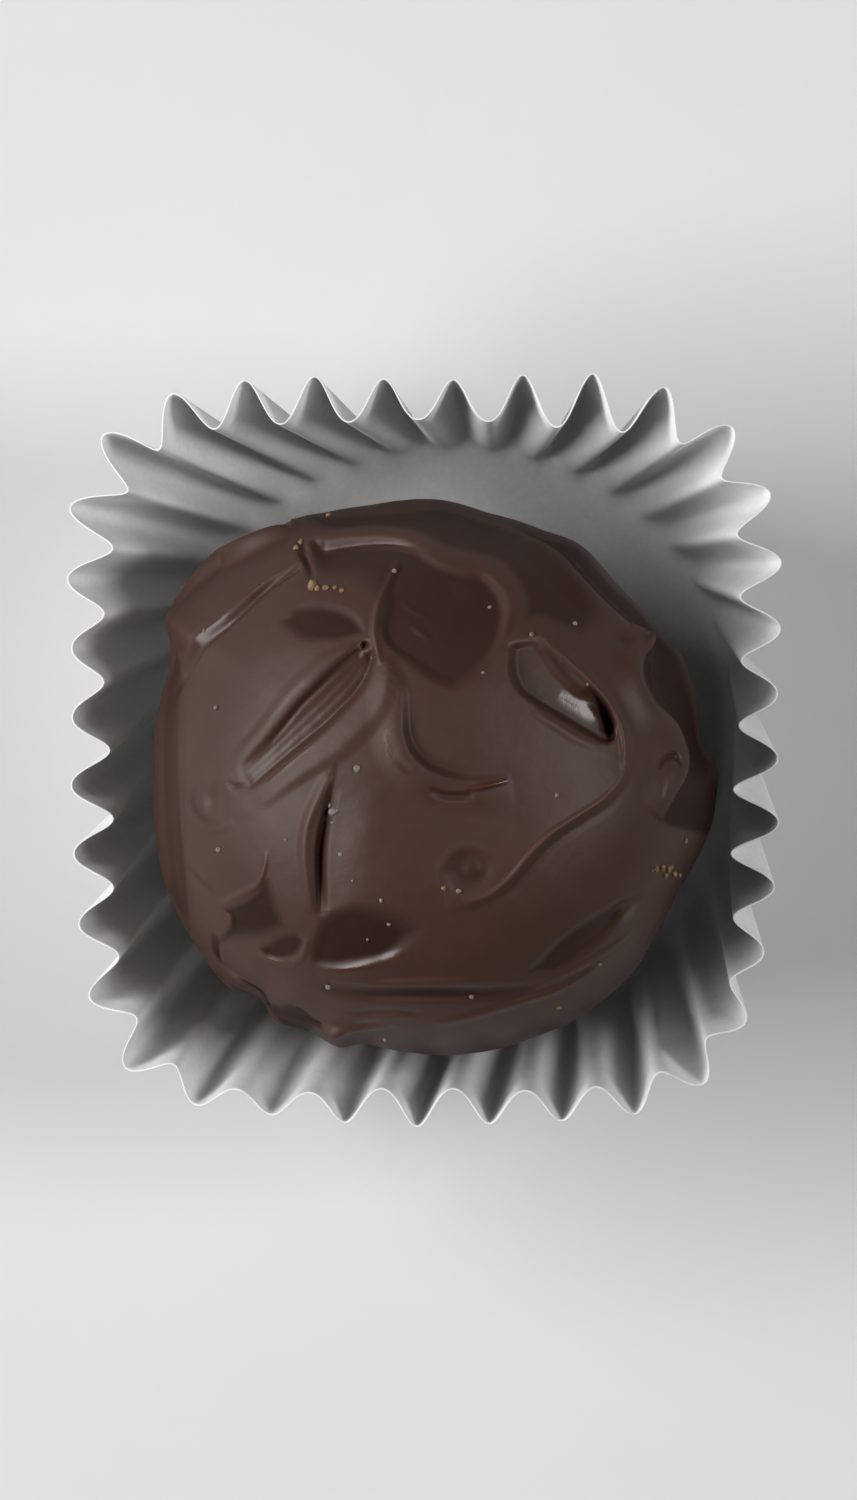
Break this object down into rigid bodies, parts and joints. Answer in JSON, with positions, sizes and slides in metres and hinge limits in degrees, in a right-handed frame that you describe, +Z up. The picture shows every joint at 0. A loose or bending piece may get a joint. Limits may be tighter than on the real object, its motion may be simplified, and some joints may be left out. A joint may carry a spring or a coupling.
{
  "type": "chocolate truffle in a paper case",
  "caption": "Round hand-finished chocolate truffle with folds and tool marks over its top, standing in a fluted paper case with a rounded square mouth.",
  "frame": {"origin": "middle of the paper case's flat round underside", "axes": "+Z up, out of the case's mouth; +Y towards the side where the floor of the case shows beside the truffle"},
  "size_m": [0.0383, 0.0402, 0.0289],
  "materials": {
    "chocolate": "satin",
    "case_paper": "matt"
  },
  "bodies": {
    "root": {"truffle": "chocolate", "paper_case": "case_paper"}
  },
  "joints": []
}
